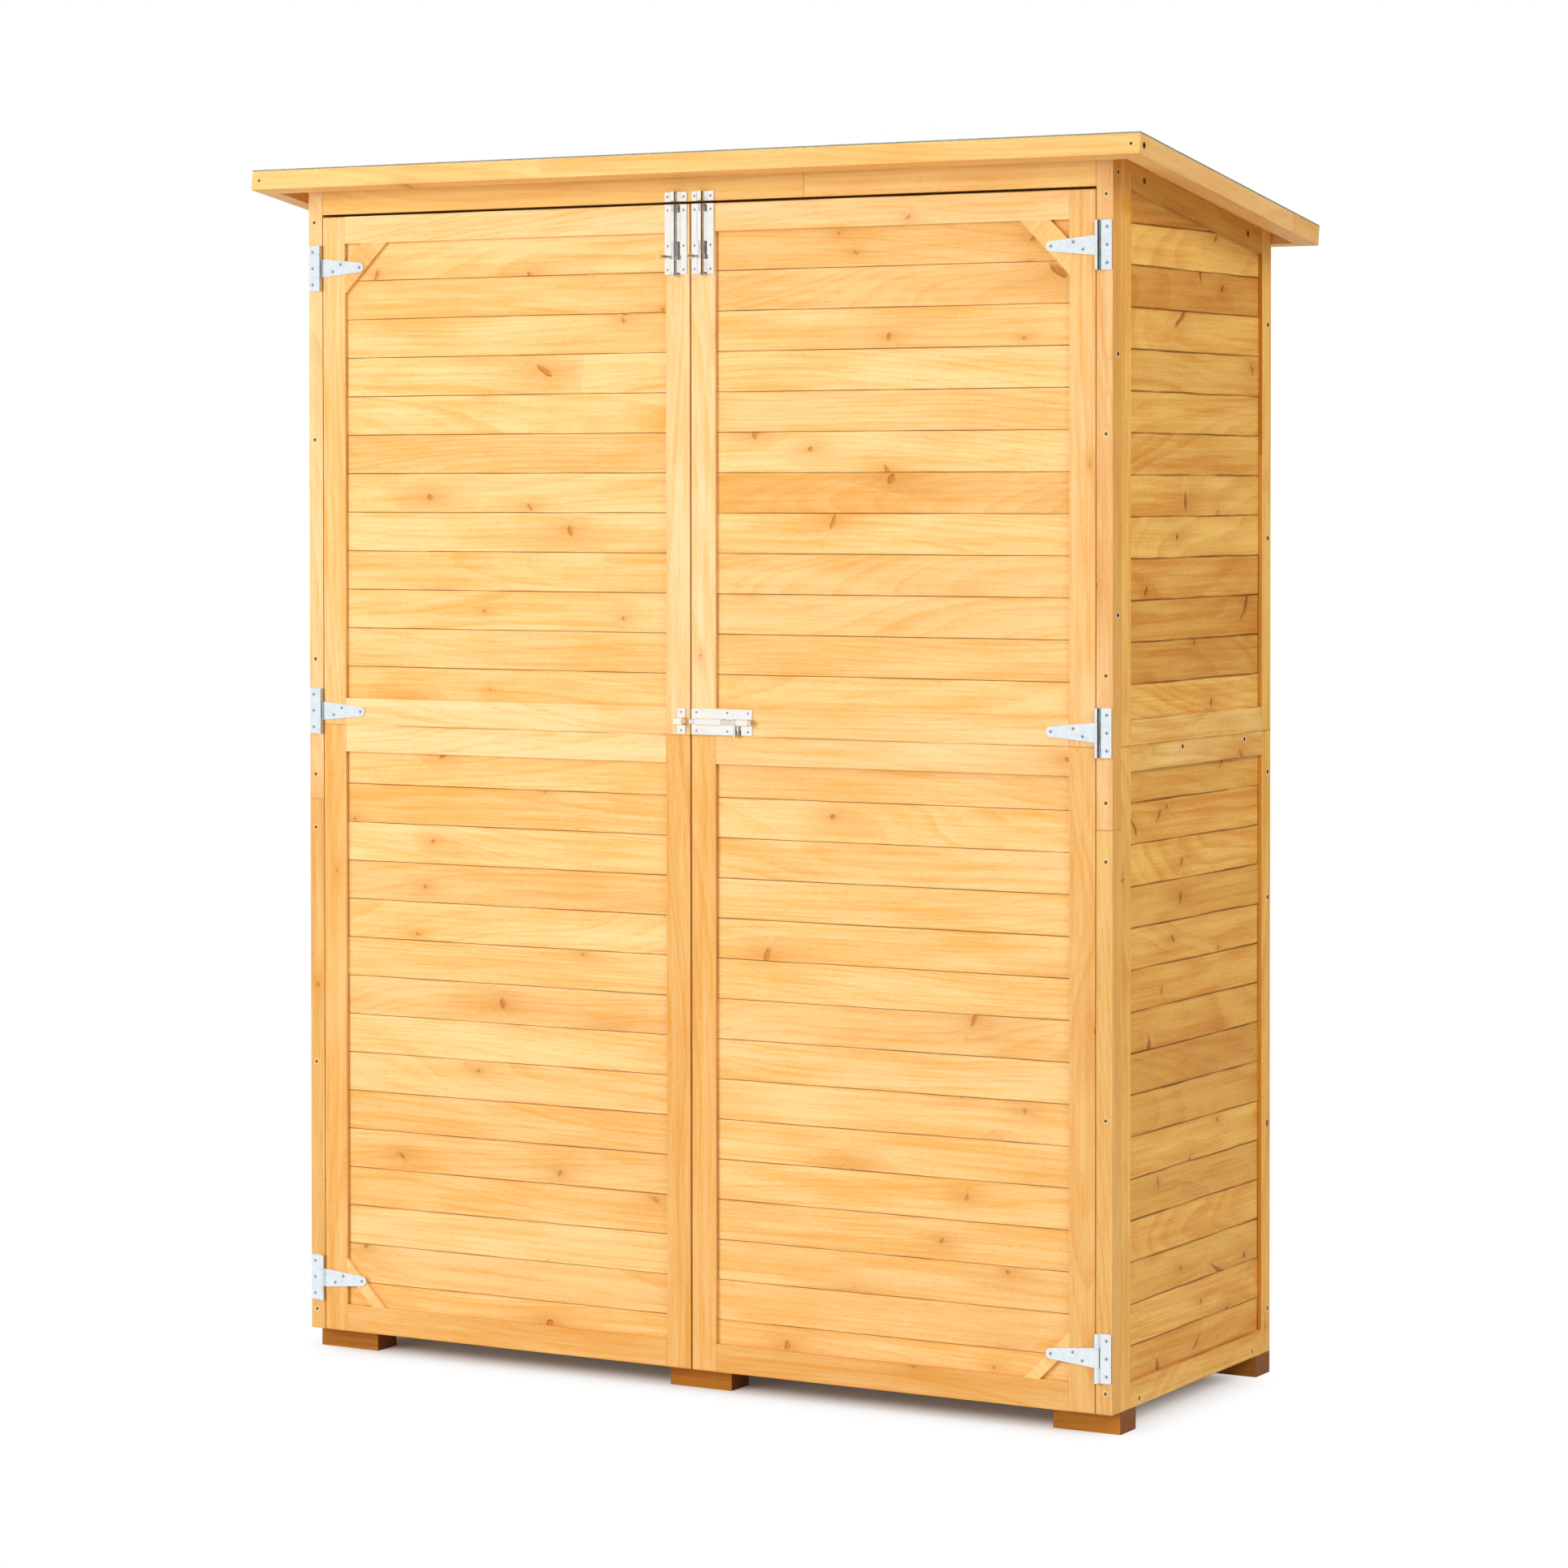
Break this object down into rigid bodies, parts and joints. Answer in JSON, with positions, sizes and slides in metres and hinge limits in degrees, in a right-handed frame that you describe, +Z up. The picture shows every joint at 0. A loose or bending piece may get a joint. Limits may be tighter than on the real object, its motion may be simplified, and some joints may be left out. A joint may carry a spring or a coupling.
{
  "type": "garden storage cabinet",
  "caption": "Tall wooden garden cabinet with two slatted doors on strap hinges, barrel bolts, a shelf, block feet and a pent roof.",
  "frame": {"origin": "middle of the whole object's footprint, on the floor under the feet", "axes": "+Z up, -Y towards someone in front of the doors, +X to that person's right"},
  "size_m": [1.318, 0.5558, 1.5954],
  "materials": {
    "fir": "satin glaze",
    "foot_fir": "satin glaze",
    "roofing_felt": "mineral",
    "zinc_sheet": "bright zinc",
    "bolt_chrome": "polished"
  },
  "bodies": {
    "carcass": {"fascia_front_left": "fir", "fascia_front_right": "fir", "fascia_left": "fir", "fascia_rear": "fir", "fascia_right": "fir", "feet": "foot_fir", "floor_boards": "fir", "floor_frame": "fir", "header_left": "fir", "header_right": "fir", "hinge_leaves": "zinc_sheet", "keepers_header": "bolt_chrome", "post_left_lower": "fir", "post_left_upper": "fir", "post_right_lower": "fir", "post_right_upper": "fir", "rear_lower_frame": "fir", "rear_lower_slats": "fir", "rear_upper_frame": "fir", "rear_upper_slats": "fir", "roof_deck_boards": "fir", "roof_felt": "roofing_felt", "roof_purlins": "fir", "shelf_bearers": "fir", "shelf_boards": "fir", "side_left_lower_frame": "fir", "side_left_lower_slats": "fir", "side_left_upper_frame": "fir", "side_left_upper_slats": "fir", "side_right_lower_frame": "fir", "side_right_lower_slats": "fir", "side_right_upper_frame": "fir", "side_right_upper_slats": "fir"},
    "door_left": {"bolt_plate_left": "bolt_chrome", "door_left_corner_strips": "fir", "door_left_lower_rails": "fir", "door_left_lower_slats": "fir", "door_left_lower_stiles": "fir", "door_left_upper_rails": "fir", "door_left_upper_slats": "fir", "door_left_upper_stiles": "fir", "hinge_straps_left": "zinc_sheet", "keeper_left_door": "bolt_chrome"},
    "door_right": {"bolt_plate_middle": "bolt_chrome", "bolt_plate_right": "bolt_chrome", "door_right_corner_strips": "fir", "door_right_lower_rails": "fir", "door_right_lower_slats": "fir", "door_right_lower_stiles": "fir", "door_right_upper_rails": "fir", "door_right_upper_slats": "fir", "door_right_upper_stiles": "fir", "hinge_straps_right": "zinc_sheet"},
    "left_bolt": {"bolt_rod_left": "bolt_chrome"},
    "right_bolt": {"bolt_rod_right": "bolt_chrome"},
    "level_bolt": {"bolt_rod_middle": "bolt_chrome"},
    "left_knob": {"bolt_knob_left": "bolt_chrome"},
    "right_knob": {"bolt_knob_right": "bolt_chrome"},
    "level_knob": {"bolt_knob_middle": "bolt_chrome"}
  },
  "joints": [
    {"name": "door_left_hinge", "type": "hinge", "parent": "carcass", "child": "door_left", "pos_m": [-0.5805, -0.23074, 0.866], "axis": [0, 0, -1], "range_deg": [0, 170]},
    {"name": "door_right_hinge", "type": "hinge", "parent": "carcass", "child": "door_right", "pos_m": [0.5805, -0.23074, 0.866], "axis": [0, 0, 1], "range_deg": [0, 170]},
    {"name": "left_bolt_slide", "type": "slide", "parent": "door_left", "child": "left_bolt", "axis": [0, 0, 1], "range_m": [0, 0.017]},
    {"name": "right_bolt_slide", "type": "slide", "parent": "door_right", "child": "right_bolt", "axis": [0, 0, 1], "range_m": [0, 0.017]},
    {"name": "level_bolt_slide", "type": "slide", "parent": "door_right", "child": "level_bolt", "axis": [-1, 0, 0], "range_m": [0, 0.017]},
    {"name": "left_knob_turn", "type": "hinge", "parent": "left_bolt", "child": "left_knob", "pos_m": [-0.0213, -0.23344, 1.4633], "axis": [0, 0, 1], "range_deg": [-55, 125]},
    {"name": "right_knob_turn", "type": "hinge", "parent": "right_bolt", "child": "right_knob", "pos_m": [0.019, -0.23344, 1.4633], "axis": [0, 0, 1], "range_deg": [-55, 125]},
    {"name": "level_knob_turn", "type": "hinge", "parent": "level_bolt", "child": "level_knob", "pos_m": [0.0697, -0.23344, 0.866], "axis": [-1, 0, 0], "range_deg": [0, 180]}
  ]
}
